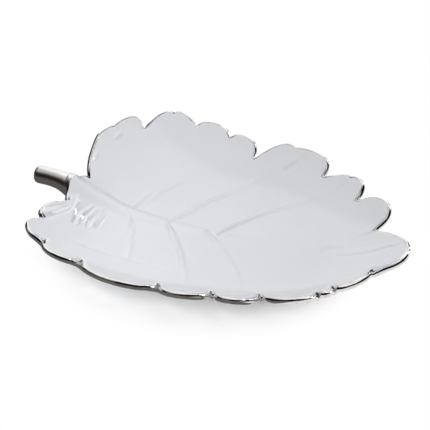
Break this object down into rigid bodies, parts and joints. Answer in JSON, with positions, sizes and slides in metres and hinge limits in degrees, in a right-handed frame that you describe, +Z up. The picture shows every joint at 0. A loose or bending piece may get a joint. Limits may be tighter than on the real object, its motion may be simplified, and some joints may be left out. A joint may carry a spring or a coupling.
{
  "type": "leaf dish",
  "caption": "Leaf shaped ceramic serving dish with a lobed, upturned edge, raised midrib and veins, a short stem and a metallic lustre on edge and stem; stands on a foot ring.",
  "frame": {"origin": "centre of the dish's box on the surface that its foot stands on", "axes": "+X along the leaf from its stem to its tip, +Y to its higher edge, +Z up"},
  "size_m": [0.3326, 0.2326, 0.0461],
  "materials": {
    "glaze": "clear gloss glaze over white earthenware",
    "bare_clay": "unglazed, wiped and fired",
    "stem_clay": "fired white clay under the lustre",
    "rim_metal": "fired silver lustre, brushed on by hand",
    "stem_metal": "fired silver lustre, brushed on by hand"
  },
  "bodies": {
    "root": {"leaf_dish": "glaze", "foot_ring": "bare_clay", "stem": "stem_clay", "rim_lustre": "rim_metal", "stem_lustre": "stem_metal"}
  },
  "joints": []
}
